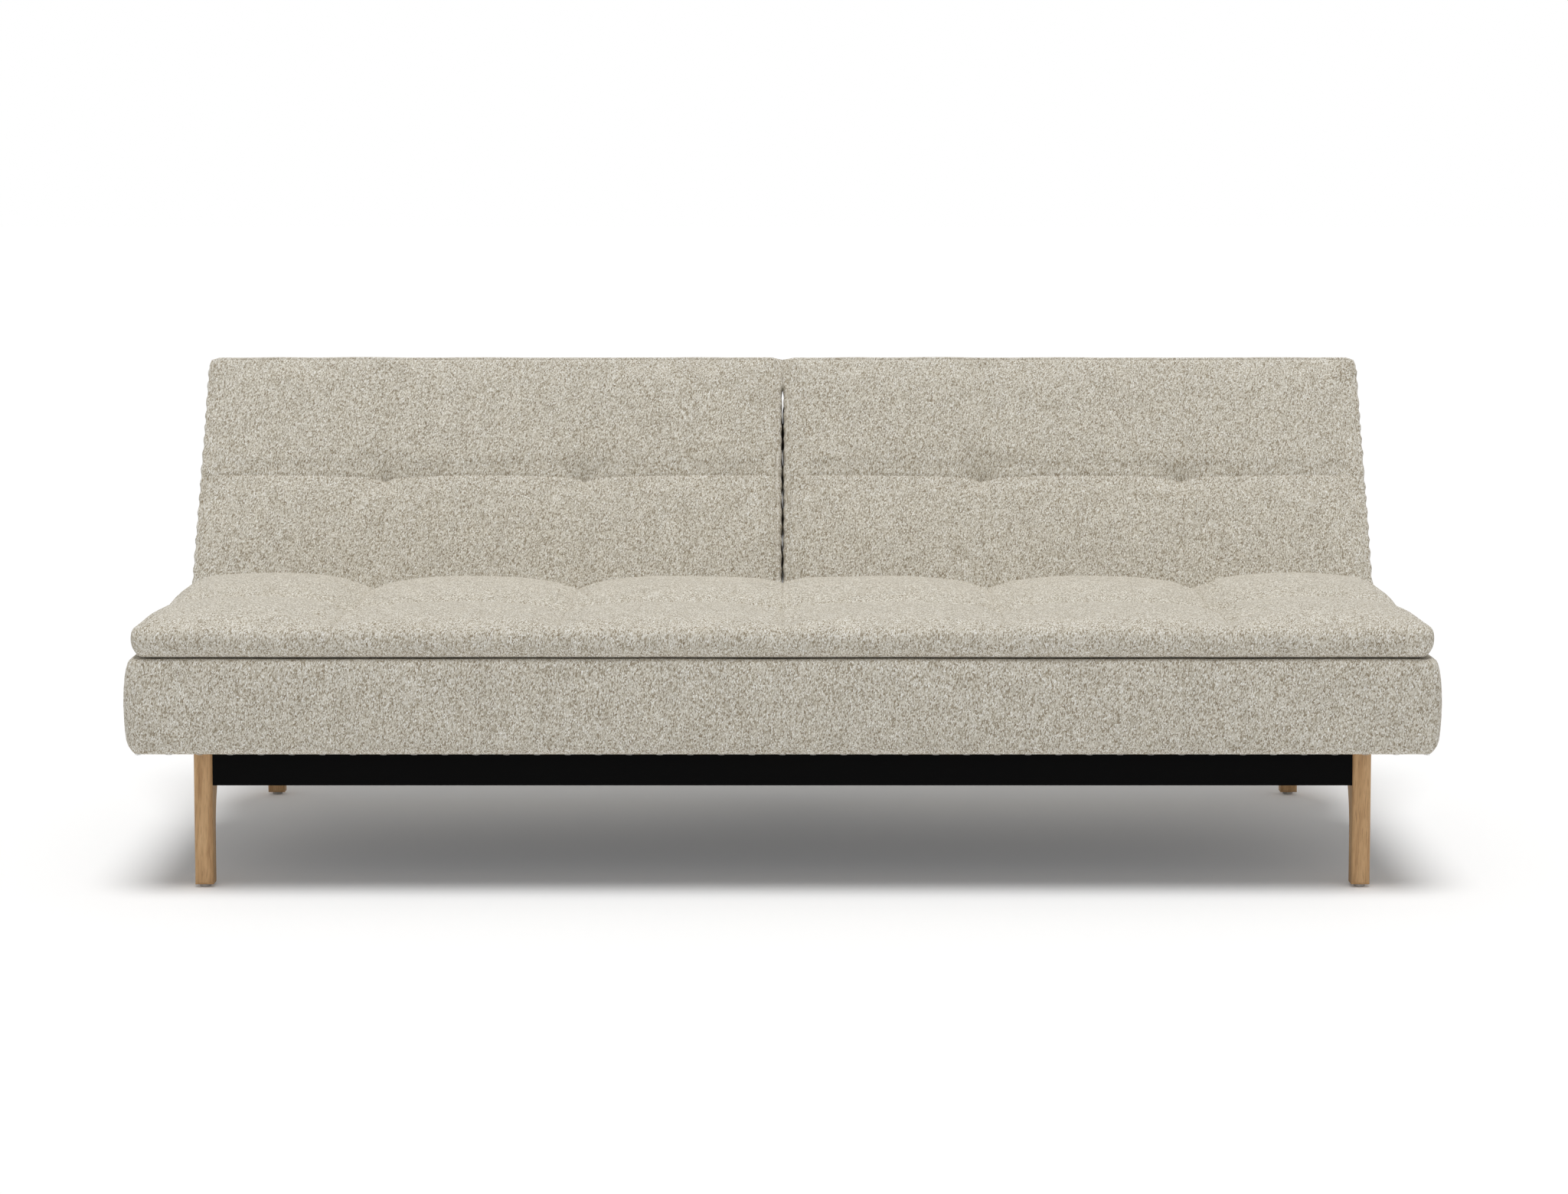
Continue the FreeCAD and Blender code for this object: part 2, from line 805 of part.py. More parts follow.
def save_chassis():
    save("front_apron", [front_apron()])
    save("leg_plates", leg_plates())
    save("rear_rail", [rear_rail()])
    save_sides("side_rail_SIDE", [side_rail()])
    save("centre_rail", [centre_rail()])
    save("seat_frame_clips", seat_frame_clips())
    names = ["leg_front_right", "leg_front_left", "leg_rear_right", "leg_rear_left"]
    for node, leg in zip(names, four_corners(front_right_leg())):
        save(node, [leg])
    save("foot_glides", four_corners(glide()))
    save("leg_bolts", leg_bolts())


def save_seat():
    save_sides("seat_board_SIDE", [seat_end_board()])
    save("seat_board_front", [seat_long_board(frame_front)])
    save("seat_board_rear", [seat_long_board(inside_rear)])
    save("seat_beams", seat_beams())
    save("seat_dust_cover", seat_dust_cover())
    save("seat_slats", [seat_slat(x) for x in seat_slat_xs()])
    save("seat_ledgers", seat_ledgers())
    save("seat_core", [seat_core()])
    save("seat_cover", [seat_cover()])
    save("seat_pad", [seat_pad()])


def save_hinges():
    bracket = to_hinge(hinge_bracket())
    save_sides("hinge_bracket_SIDE_inner", [at_inner_hinge(bracket)])
    save_sides("hinge_bracket_SIDE_outer", [at_outer_hinge(bracket)])
    save("pivot_bolts", both_sides(at_both_hinges([to_hinge(pivot_bolt())])))


def save_backs():
    save_sides("back_SIDE_cover", [to_rest(back_cover())])
    save_sides("back_SIDE_pad", [to_rest(back_pad())])
    save_sides("back_SIDE_core", [to_rest(back_core())])
    save_sides("back_SIDE_slats", [to_rest(slat) for slat in back_slats()])
    save_sides("back_SIDE_top_rail", [to_rest(back_top_rail())])
    save_sides("back_SIDE_bottom_rail", [to_rest(back_bottom_rail())])
    save_sides("back_SIDE_inner_rail", [to_rest(back_side_rail(inner_rail_x))])
    save_sides("back_SIDE_outer_rail", [to_rest(back_side_rail(outer_rail_x - back_tube))])
    save_sides("back_SIDE_inner_arm", [to_rest(at_inner_hinge(hinge_arm()))])
    save_sides("back_SIDE_outer_arm", [to_rest(at_outer_hinge(hinge_arm()))])


def save_pawls():
    save_sides("pawls_SIDE", [to_rest(pawls())])


save_chassis()
save_seat()
save_hinges()
save_backs()
save_pawls()
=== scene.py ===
import json
import math

import bmesh
import bpy
from mathutils import Matrix, Vector, noise


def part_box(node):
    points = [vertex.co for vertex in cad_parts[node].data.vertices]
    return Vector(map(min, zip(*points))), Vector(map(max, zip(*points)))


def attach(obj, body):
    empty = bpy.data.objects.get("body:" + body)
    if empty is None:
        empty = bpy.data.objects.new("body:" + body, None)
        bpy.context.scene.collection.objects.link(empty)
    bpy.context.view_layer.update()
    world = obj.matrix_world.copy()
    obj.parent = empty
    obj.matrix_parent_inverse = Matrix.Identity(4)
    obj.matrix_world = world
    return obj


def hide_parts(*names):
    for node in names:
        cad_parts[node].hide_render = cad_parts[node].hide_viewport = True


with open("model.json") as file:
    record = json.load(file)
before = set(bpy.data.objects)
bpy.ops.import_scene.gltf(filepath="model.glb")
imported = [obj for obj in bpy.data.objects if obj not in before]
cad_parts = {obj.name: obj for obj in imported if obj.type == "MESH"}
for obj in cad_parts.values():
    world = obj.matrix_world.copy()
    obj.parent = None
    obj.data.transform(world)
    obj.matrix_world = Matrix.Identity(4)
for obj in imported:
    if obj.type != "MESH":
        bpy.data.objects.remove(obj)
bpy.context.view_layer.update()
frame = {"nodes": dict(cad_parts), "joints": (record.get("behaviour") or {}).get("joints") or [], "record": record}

# Sizes in metres, taken from the frame
mm = 0.001
joints = {joint["name"]: joint for joint in frame["joints"]}
recline = joints["back_right_recline"]
hinge_point = Vector((0, recline["pos_m"][1], recline["pos_m"][2]))
rest_angle = math.radians(recline["range_deg"][1])
box_low, box_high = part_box("seat_cover")
pad_low, pad_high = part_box("seat_pad")

# Where the pads are sewn: how far from the sofa's middle, and at which share of a back pad's height
seam_from_middle = 358 * mm
outer_seam_from_middle = 717 * mm
back_seam_share = 0.583

# Where the inner edges of the backs draw apart near the top, seen from the hinge axis
top_taper = 7 * mm
taper_start = 405 * mm
taper_run = 60 * mm

# The soft borders that meet between the backs: how far they bulge past their frames, and their waves
border_bulge = 2.2 * mm
border_wave = 1.6 * mm

# How far the pads are drawn in where the backs swing past the seat
pad_draw_in = 11.5 * mm

# How far a seam's thread lies above the bottom of its groove, and how far short of the hinge side it ends
thread = 0.3 * mm
thread_end = 60 * mm

# Slots in the back's cover that its hinge brackets stand in: their half width, how far they reach above
# the hinge axis, and how deep they go in from the rear
hinge_slot_half = 8 * mm
hinge_slot_top = 27 * mm
hinge_slot_deep = 57.6 * mm

# How far a cutter stands out of the piece that it cuts
cutter_out = 9 * mm

# The least length that is left of a piece's corner where its rim is drawn in
least_corner = 2 * mm


def clear_of(value, low, high):
    """How far a value is from the nearer of two ends."""
    return min(value - low, high - value)


def smooth(t):
    """Runs gently from 0 to 1."""
    t = max(0.0, min(1.0, t))
    return t * t * (3 - 2 * t)


def steps(low, high, step=10 * mm):
    """Evenly spread values from one end to the other."""
    count = math.ceil((high - low) / step)
    return [low + (high - low) * i / count for i in range(count + 1)]


def half_sizes(low, high):
    """Half the length and half the depth of a box between two corners."""
    return (high.x - low.x) / 2, (high.y - low.y) / 2


def underside(low, high):
    """The middle of the underside of a box between two corners."""
    return Vector(((low.x + high.x) / 2, (low.y + high.y) / 2, low.z))


def all_placed(place, paths):
    """Paths of points, taken to where their piece stands."""
    return [[place @ Vector(point) for point in path] for path in paths]


def new_object(name, vertices, faces, smooth_shading=True):
    mesh = bpy.data.meshes.new(name)
    mesh.from_pydata([tuple(v) for v in vertices], [], faces)
    mesh.update()
    if smooth_shading:
        mesh.polygons.foreach_set("use_smooth", [True] * len(mesh.polygons))
    piece = bpy.data.objects.new(name, mesh)
    bpy.context.scene.collection.objects.link(piece)
    return piece


def close_and_face_outwards(mesh):
    work = bmesh.new()
    work.from_mesh(mesh)
    bmesh.ops.remove_doubles(work, verts=work.verts, dist=0.02 * mm)
    bmesh.ops.recalc_face_normals(work, faces=work.faces)
    work.to_mesh(mesh)
    work.free()


def finish_piece(piece, body, slot, replaced=(), place=Matrix.Identity(4)):
    """Place a piece with its faces outwards, and give it its body, its material and what it stands for."""
    piece.data.transform(place)
    close_and_face_outwards(piece.data)
    piece.data.materials.clear()
    piece.data.materials.append(materials[slot])
    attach(piece, body)
    if replaced:
        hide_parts(*replaced)


# Materials


def shader(name, colour=(0.8, 0.8, 0.8), roughness=0.5, metallic=0.0):
    material = bpy.data.materials.new(name)
    material.use_nodes = True
    tree = material.node_tree
    bsdf = tree.nodes["Principled BSDF"]
    bsdf.inputs["Base Color"].default_value = (*colour, 1)
    bsdf.inputs["Roughness"].default_value = roughness
    bsdf.inputs["Metallic"].default_value = metallic
    return material, tree, bsdf


def node(tree, kind, **values):
    made = tree.nodes.new(kind)
    for key, value in values.items():
        if key in made.inputs:
            made.inputs[key].default_value = value
        else:
            setattr(made, key, value)
    return made


def place(tree, size, turn=(0, 0, 0)):
    """The piece's own coordinates, for a pattern in cells of this size in millimetres, turned in degrees."""
    coordinates = node(tree, "ShaderNodeTexCoord")
    mapping = node(tree, "ShaderNodeMapping", vector_type="TEXTURE")
    mapping.inputs["Rotation"].default_value = [math.radians(a) for a in turn]
    mapping.inputs["Scale"].default_value = [v * mm for v in size]
    tree.links.new(coordinates.outputs["Object"], mapping.inputs["Vector"])
    return mapping.outputs["Vector"]


def ramp(tree, factor, stops):
    made = tree.nodes.new("ShaderNodeValToRGB")
    elements = made.color_ramp.elements
    while len(elements) < len(stops):
        elements.new(0.5)
    for element, (position, colour) in zip(elements, stops):
        element.position = position
        element.color = (*colour, 1)
    tree.links.new(factor, made.inputs["Fac"])
    return made.outputs["Color"]


def mix(tree, factor, a, b, blend="MIX"):
    made = node(tree, "ShaderNodeMix", data_type="RGBA", blend_type=blend)
    for socket, value in ((made.inputs[0], factor), (made.inputs[6], a), (made.inputs[7], b)):
        if hasattr(value, "links"):
            tree.links.new(value, socket)
        elif isinstance(value, (int, float)):
            socket.default_value = value
        else:
            socket.default_value = (*value, 1)
    return made.outputs[2]


def bump(tree, height, bsdf, strength, depth):
    made = node(tree, "ShaderNodeBump", Strength=strength, Distance=depth)
    tree.links.new(height, made.inputs["Height"])
    tree.links.new(made.outputs["Normal"], bsdf.inputs["Normal"])


def boucle():
    """Woven melange: light and brown yarn loops, leaning a little off the upright, with painted shade in the
    hollows between the loops and painted light on their tops.
    """
    material, tree, bsdf = shader("boucle", roughness=0.95)
    bsdf.inputs["Sheen Weight"].default_value = 0.08
    bsdf.inputs["Sheen Roughness"].default_value = 0.6
    bsdf.inputs["Specular IOR Level"].default_value = 0.15
    lean = (0, 14, 45)
    yarn = place(tree, (1.35, 1.35, 3.2), lean)
    wobble = node(tree, "ShaderNodeTexNoise", Scale=0.7, Detail=2.0)
    tree.links.new(yarn, wobble.inputs["Vector"])
    shifted = node(tree, "ShaderNodeVectorMath", operation="MULTIPLY_ADD")
    tree.links.new(wobble.outputs["Color"], shifted.inputs[0])
    shifted.inputs[1].default_value = (1.1, 1.1, 1.1)
    tree.links.new(yarn, shifted.inputs[2])
    loops = node(tree, "ShaderNodeTexVoronoi", Scale=1.0)
    tree.links.new(shifted.outputs[0], loops.inputs["Vector"])
    pick = node(tree, "ShaderNodeSeparateColor")
    tree.links.new(loops.outputs["Color"], pick.inputs["Color"])
    threads = ramp(tree, pick.outputs[0], [
        (0.0, (0.29, 0.235, 0.16)),
        (0.22, (0.47, 0.42, 0.33)),
        (0.45, (0.68, 0.64, 0.55)),
        (0.8, (0.79, 0.76, 0.68)),
        (1.0, (0.96, 0.95, 0.91)),
    ])
    fibre = node(tree, "ShaderNodeTexNoise", Scale=1.0, Detail=3.0, Roughness=0.7)
    tree.links.new(place(tree, (0.6, 0.6, 2.2), lean), fibre.inputs["Vector"])
    fibres = ramp(tree, fibre.outputs["Fac"], [(0.3, (0.84, 0.84, 0.84)), (0.7, (1.14, 1.14, 1.14))])
    cloud = node(tree, "ShaderNodeTexNoise", Scale=1.0, Detail=3.0)
    tree.links.new(place(tree, (30, 30, 30)), cloud.inputs["Vector"])
    clouds = ramp(tree, cloud.outputs["Fac"], [(0.3, (0.96, 0.96, 0.96)), (0.7, (1.04, 1.04, 1.04))])
    # Painted shade: darker colour in the hollows between the yarn loops, and painted light (colour above 1) on the
    # loops' raised middles
    valley = ramp(tree, loops.outputs["Distance"], [(0.2, (1.08, 1.08, 1.08)), (0.85, (0.80, 0.78, 0.75))])
    colour = mix(tree, 1.0, threads, fibres, "MULTIPLY")
    colour = mix(tree, 1.0, colour, clouds, "MULTIPLY")
    colour = mix(tree, 1.0, colour, valley, "MULTIPLY")
    tree.links.new(colour, bsdf.inputs["Base Color"])
    height = node(tree, "ShaderNodeMath", operation="MULTIPLY_ADD")
    tree.links.new(loops.outputs["Distance"], height.inputs[0])
    height.inputs[1].default_value = -1.0
    tree.links.new(fibre.outputs["Fac"], height.inputs[2])
    bump(tree, height.outputs[0], bsdf, 0.4, 0.6 * mm)
    return material


def oak():
    """Oiled oak with its grain along the leg."""
    material, tree, bsdf = shader("oak", roughness=0.55)
    bsdf.inputs["Specular IOR Level"].default_value = 0.35
    warp = node(tree, "ShaderNodeTexNoise", Scale=1.0, Detail=2.0)
    tree.links.new(place(tree, (110, 110, 330)), warp.inputs["Vector"])
    bent = node(tree, "ShaderNodeVectorMath", operation="MULTIPLY_ADD")
    tree.links.new(warp.outputs["Color"], bent.inputs[0])
    bent.inputs[1].default_value = (0.9, 0.9, 0.9)
    tree.links.new(place(tree, (13, 13, 170), (3, 2, 0)), bent.inputs[2])
    rings = node(tree, "ShaderNodeTexNoise", Scale=1.0, Detail=4.0, Roughness=0.6)
    tree.links.new(bent.outputs[0], rings.inputs["Vector"])
    grain = ramp(tree, rings.outputs["Fac"], [
        (0.28, (0.44, 0.25, 0.115)),
        (0.45, (0.59, 0.36, 0.175)),
        (0.6, (0.69, 0.44, 0.225)),
        (0.8, (0.76, 0.52, 0.285)),
    ])
    pores = node(tree, "ShaderNodeTexNoise", Scale=1.0, Detail=2.0)
    tree.links.new(place(tree, (1.1, 1.1, 26), (1, 1, 0)), pores.inputs["Vector"])
    flecks = ramp(tree, pores.outputs["Fac"], [(0.34, (0.74, 0.70, 0.66)), (0.47, (1, 1, 1))])
    colour = mix(tree, 1.0, grain, flecks, "MULTIPLY")
    tree.links.new(colour, bsdf.inputs["Base Color"])
    bump(tree, pores.outputs["Fac"], bsdf, 0.25, 0.2 * mm)
    return material


def mottled(
    name, size, roughness, darker, lighter, depth, metallic=0.0, shine=0.5, pattern="ShaderNodeTexNoise"
):
    """A plain material whose colour and surface vary a little in cells of one size, in millimetres."""
    material, tree, bsdf = shader(name, roughness=roughness, metallic=metallic)
    bsdf.inputs["Specular IOR Level"].default_value = shine
    cells = node(tree, pattern, Scale=1.0)
    tree.links.new(place(tree, (size, size, size)), cells.inputs["Vector"])
    value = cells.outputs[0]
    tint = ramp(tree, value, [(0.3, darker), (0.7, lighter)])
    tree.links.new(tint, bsdf.inputs["Base Color"])
    rough = ramp(tree, value, [(0.3, [roughness * 0.88] * 3), (0.7, [roughness * 1.1] * 3)])
    tree.links.new(rough, bsdf.inputs["Roughness"])
    bump(tree, value, bsdf, 0.2, depth * mm)
    return material


def pine():
    """Rough pine with its grain along the sofa."""
    material, tree, bsdf = shader("pine", roughness=0.7)
    rings = node(tree, "ShaderNodeTexNoise", Scale=1.0, Detail=3.0)
    tree.links.new(place(tree, (160, 25, 11)), rings.inputs["Vector"])
    grain = ramp(tree, rings.outputs["Fac"], [(0.35, (0.50, 0.33, 0.17)), (0.62, (0.72, 0.54, 0.33))])
    tree.links.new(grain, bsdf.inputs["Base Color"])
    bump(tree, rings.outputs["Fac"], bsdf, 0.2, 0.3 * mm)
    return material


cell_pattern = "ShaderNodeTexVoronoi"
materials = {
    "boucle": boucle(),
    "oak": oak(),
    "pine": pine(),
    "black_steel": mottled(
        "powder_coat", 1.1, 0.5, (0.001, 0.001, 0.001), (0.002, 0.002, 0.002), 0.15, shine=0.05
    ),
    "zinc_steel": mottled("zinc_plate", 8, 0.4, (0.42, 0.42, 0.41), (0.64, 0.63, 0.60), 0.1, metallic=1.0),
    "foam": mottled("foam", 1.4, 0.95, (0.80, 0.76, 0.62), (0.62, 0.57, 0.43), 0.5, pattern=cell_pattern),
    "dust_cloth": mottled(
        "dust_cloth", 1.6, 0.9, (0.012, 0.012, 0.012), (0.03, 0.03, 0.031), 0.2, pattern=cell_pattern
    ),
    "glide_plastic": mottled("glide_plastic", 0.8, 0.6, (0.44, 0.43, 0.41), (0.58, 0.57, 0.55), 0.1),
}

for part in frame["record"]["subparts"]:
    shown = frame["nodes"][part["node"]]
    shown.data.materials.clear()
    shown.data.materials.append(materials[part["material_slot"]])


# Cushions


def grid_lines(low, high, step, seams):
    """Positions between two ends: evenly spread, and closer beside each seam."""
    beside = [0, 1.3 * mm, 2.8 * mm, 5 * mm, 8.5 * mm]
    fixed = {low, high}
    for seam in seams:
        for gap in beside:
            fixed.update((seam - gap, seam + gap))
    fixed = sorted(v for v in fixed if low <= v <= high)
    lines = [fixed[0]]
    for a, b in zip(fixed, fixed[1:]):
        parts = max(1, math.ceil((b - a) / step - 0.001))
        lines += [a + (b - a) * (i + 1) / parts for i in range(parts)]
    return lines


def round_corner(x, y, half_x, half_y, radius):
    """Bend the corners of a rectangle round the origin to a radius."""
    ax = abs(x) - (half_x - radius)
    ay = abs(y) - (half_y - radius)
    if ax <= 0 or ay <= 0:
        return x, y
    squeeze = max(ax, ay) / math.hypot(ax, ay)
    return (
        math.copysign(half_x - radius + ax * squeeze, x),
        math.copysign(half_y - radius + ay * squeeze, y),
    )


def moved_in(value, half, radius, start, inset):
    """A coordinate on a rim at one inset, taken to a loop at another."""
    corner = half - radius
    new_corner = min(corner, half - inset - least_corner)
    if abs(value) <= corner:
        return value * new_corner / corner
    share = (abs(value) - corner) / (radius - start)
    return math.copysign(new_corner + share * (half - inset - new_corner), value)


def upholstered(name, half_x, half_y, radius, lines_x, lines_y, loops, height, shape):
    """A closed piece round the origin: a top made of lines both ways, and loops that run down from its rim.

    Each loop has its inset at the ends, its inset at the front and rear, its height, and how much of the
    rim's own rise and fall it keeps. The last loop is closed over its middle line.
    """
    start_x, start_y, rim_height, _ = loops[0]
    vertices = []
    top = {}

    def loop_point(x, y, loop):
        inset_x, inset_y, z, keep = loop
        px = moved_in(x, half_x, radius, start_x, inset_x)
        py = moved_in(y, half_y, radius, start_y, inset_y)
        wide, deep = half_x - inset_x, half_y - inset_y
        corner = min(max(radius - max(inset_x, inset_y), least_corner), deep)
        px, py = round_corner(px, py, wide, deep, corner)
        return shape(Vector((px, py, z + keep * (height(x, y) - rim_height))))

    for i, x in enumerate(lines_x):
        for j, y in enumerate(lines_y):
            top[i, j] = len(vertices)
            px, py = round_corner(x, y, half_x - start_x, half_y - start_y, radius - max(start_x, start_y))
            vertices.append(Vector((px, py, height(x, y))))
    last_i, last_j = len(lines_x) - 1, len(lines_y) - 1
    ring = [(i, 0) for i in range(last_i)] + [(last_i, j) for j in range(last_j)]
    ring += [(i, last_j) for i in range(last_i, 0, -1)] + [(0, j) for j in range(last_j, 0, -1)]
    faces = []
    for i in range(last_i):
        for j in range(last_j):
            faces.append((top[i, j], top[i + 1, j], top[i + 1, j + 1], top[i, j + 1]))
    previous = [top[key] for key in ring]

    def add_loop(points):
        current = list(range(len(vertices), len(vertices) + len(ring)))
        vertices.extend(points)
        for k in range(len(ring)):
            m = (k + 1) % len(ring)
            faces.append((previous[m], previous[k], current[k], current[m]))
        return current

    for loop in loops[1:]:
        previous = add_loop([loop_point(lines_x[i], lines_y[j], loop) for i, j in ring])
    rim = [vertices[k].copy() for k in previous]
    spine = half_x - half_y
    for share in (0.7, 0.35, 0.0):
        points = []
        for v in rim:
            middle = Vector((max(-spine, min(spine, v.x)), 0, v.z))
            points.append(middle.lerp(v, share))
        previous = add_loop(points)
    piece = new_object(name, vertices, faces)
    close_and_face_outwards(piece.data)
    return piece


def draw_in(piece, half_y, towards, depth):
    """Narrow the upper part of one long side, where another pad swings past it."""
    reach, reach_run = 60 * mm, 50 * mm
    lowest, upper_run = 10 * mm, 22 * mm
    for v in piece.data.vertices:
        near_side = smooth((towards * v.co.y - half_y + reach) / reach_run)
        upper = smooth((v.co.z - lowest) / upper_run)
        v.co.y -= towards * depth * near_side * upper


def plump(piece, free_at, most):
    """Blow the cloth up a little between its seams, and keep no more than a small move of each point.

    free_at gives how far a point is from the nearest seam or sewn edge, and most is the largest move kept.
    """
    moments = 20
    sewn = piece.vertex_groups.new(name="sewn")
    for v in piece.data.vertices:
        sewn.add([v.index], 1 - smooth((free_at(v.co) - 5 * mm) / (30 * mm)), "REPLACE")
    cloth = piece.modifiers.new("cloth", "CLOTH")
    cloth.settings.quality = 3
    cloth.settings.mass = 0.3
    cloth.settings.tension_stiffness = 12
    cloth.settings.compression_stiffness = 12
    cloth.settings.shear_stiffness = 4
    cloth.settings.bending_stiffness = 0.3
    cloth.settings.vertex_group_mass = "sewn"
    cloth.settings.use_pressure = True
    cloth.settings.uniform_pressure_force = 4
    cloth.settings.shrink_min = -0.025
    cloth.settings.effector_weights.gravity = 0
    cloth.collision_settings.use_collision = False
    cloth.point_cache.frame_start = 1
    cloth.point_cache.frame_end = moments
    for moment in range(1, moments + 1):
        bpy.context.scene.frame_set(moment)
    settled = piece.evaluated_get(bpy.context.evaluated_depsgraph_get()).data.vertices
    moves = [after.co - before.co for after, before in zip(settled, piece.data.vertices)]
    bpy.context.scene.frame_set(1)
    piece.modifiers.clear()
    piece.vertex_groups.clear()
    for v, move in zip(piece.data.vertices, moves):
        v.co += move * min(1.0, most / max(move.length, 1e-9))


def crease(distance, depth, width):
    """A narrow sewn groove."""
    return depth * math.exp(-abs(distance) / width)


def pucker(x, y, tuft_x, tuft_y, depth, spread, folds, seed):
    """The dimple of a tuft, with small folds that run out from it."""
    dx, dy = x - tuft_x, y - tuft_y
    reach = math.hypot(dx, dy)
    if reach > 6 * spread:
        return 0.0
    dimple = depth * math.exp(-((reach / spread) ** 1.3))
    turn = math.atan2(dy, dx)
    ripple = math.cos(folds * turn + seed) + 0.5 * math.cos((folds - 3) * turn + 2.3 * seed)
    fade = (reach / spread) * math.exp(-reach / (0.8 * spread))
    return dimple + 0.09 * depth * ripple * fade


def scallop(x, borders, power):
    """Nothing between two seams, and one at a seam."""
    for a, b in zip(borders, borders[1:]):
        if a <= x <= b:
            return abs((2 * x - a - b) / (b - a)) ** power
    return 1.0


def soft_noise(x, y, z, size, amount):
    return amount * noise.noise(Vector((x / size, y / size, z / size)))


def seat_pad():
    """The long tufted pad, sewn into two rows of six puffs. Gives back the paths of its seams."""
    low, high = pad_low, pad_high
    half_x, half_y = half_sizes(low, high)
    centre_y = (high.y + low.y) / 2
    rim = 51 * mm
    crest = 61 * mm
    outer_rise = 9 * mm
    edge = 13 * mm
    radius = 26 * mm
    near_rim = 20 * mm
    row_seam_dip = 20 * mm
    front_seam_dip = 12 * mm
    rear_seam_dip = 18 * mm
    middle_seam_rise = 12 * mm
    tuft_dip, tuft_size = 8 * mm, 30 * mm
    row_crease, cross_crease, crease_width = 3.4 * mm, 3.2 * mm, 3.5 * mm
    seams_x = [-outer_seam_from_middle, -seam_from_middle, 0.0, seam_from_middle, outer_seam_from_middle]
    borders_x = [edge - half_x] + seams_x + [half_x - edge]
    row_middle = (half_y - edge) / 2

    def height(x, y):
        """Two rows of puffs, each drawn down along its seams and to the rim."""
        outermost = abs(x) > outer_seam_from_middle
        across = scallop(x, borders_x, 2.3)
        along = (abs(y) - row_middle) / row_middle
        to_front = smooth(0.5 - y / (60 * mm))
        at_end = outermost and abs(x) > (outer_seam_from_middle + half_x - edge) / 2
        at_middle = math.exp(-((x / (120 * mm)) ** 4))
        front_dip = front_seam_dip * smooth((y + half_y - edge) / (80 * mm))
        rear_dip = rear_seam_dip - middle_seam_rise * at_middle
        seam_dip = to_front * front_dip + (1 - to_front) * rear_dip
        rise = outer_rise if outermost else 0.0
        end_dip = crest + rise - rim
        z = crest + rise - across * (end_dip if at_end else seam_dip + rise)
        if along > 0:
            z -= (crest - rim + rise * (1 - across)) * along ** 2.6 * (1 - across if at_end else 1)
        else:
            z -= row_seam_dip * (-along) ** 2.0 * (1 - 0.6 * across if at_end else 1)
        for tuft in seams_x:
            z -= pucker(x, y, tuft, 0.0, tuft_dip, tuft_size, 9, 1.7 * tuft + 0.6)
            z -= crease(x - tuft, cross_crease, crease_width)
        z -= crease(y, row_crease, crease_width)
        return z + soft_noise(x, y, 3.0, 0.11, 1.3 * mm)

    loops = [
        (edge, edge, rim, 1.0),
        (8.6 * mm, 8.8 * mm, 49 * mm, 1.0),
        (5.2 * mm, 5.4 * mm, 46.3 * mm, 1.0),
        (2.6 * mm, 2.8 * mm, 42.8 * mm, 1.0),
        (0.9 * mm, 1.0 * mm, 38.5 * mm, 0.8),
        (0.1 * mm, 0.2 * mm, 33 * mm, 0.6),
        (0.1 * mm, 0.0 * mm, 27 * mm, 0.4),
        (1.2 * mm, 0.4 * mm, 21 * mm, 0.2),
        (3.4 * mm, 1.4 * mm, 15.5 * mm, 0.0),
        (6.4 * mm, 3.2 * mm, 10.5 * mm, 0.0),
        (9.8 * mm, 6.0 * mm, 6.2 * mm, 0.0),
        (12.2 * mm, 8.6 * mm, 3.2 * mm, 0.0),
        (15.0 * mm, 13.0 * mm, 1.6 * mm, 0.0),
        (19 * mm, 18 * mm, 0.4 * mm, 0.0),
    ]

    def shape(v):
        """A slightly uneven border."""
        if abs(v.y) < half_y - near_rim and abs(v.x) < half_x - near_rim:
            return v
        push = Vector((v.x / half_x if abs(v.x) > half_x - near_rim else 0, v.y / half_y, 0))
        return v + push * (soft_noise(v.x, v.y, v.z, 0.06, 0.8 * mm) - 0.5 * mm)

    def free_at(v):
        if v.z < 30 * mm:
            return 0.0
        from_seam = min(abs(v.x - seam) for seam in seams_x + [half_x, -half_x])
        return min(from_seam, abs(v.y), half_y - abs(v.y))

    lines_x = grid_lines(-half_x + edge, half_x - edge, 8 * mm, seams_x)
    lines_y = grid_lines(-half_y + edge, half_y - edge, 7.5 * mm, [0.0])
    piece = upholstered("seat_pad_cushion", half_x, half_y, radius, lines_x, lines_y, loops, height, shape)
    draw_in(piece, half_y, 1, pad_draw_in)
    plump(piece, free_at, 4 * mm)
    place = Matrix.Translation((0, centre_y, low.z))
    finish_piece(piece, "chassis", "boucle", ["seat_pad"], place)
    seams = [[(x, 0, height(x, 0) + thread) for x in steps(edge - half_x, half_x - edge)]]
    for seam in seams_x:
        ys = steps(edge - half_y, half_y - thread_end)
        seams.append([(seam, y, height(seam, y) + thread) for y in ys])
    return all_placed(place, seams)


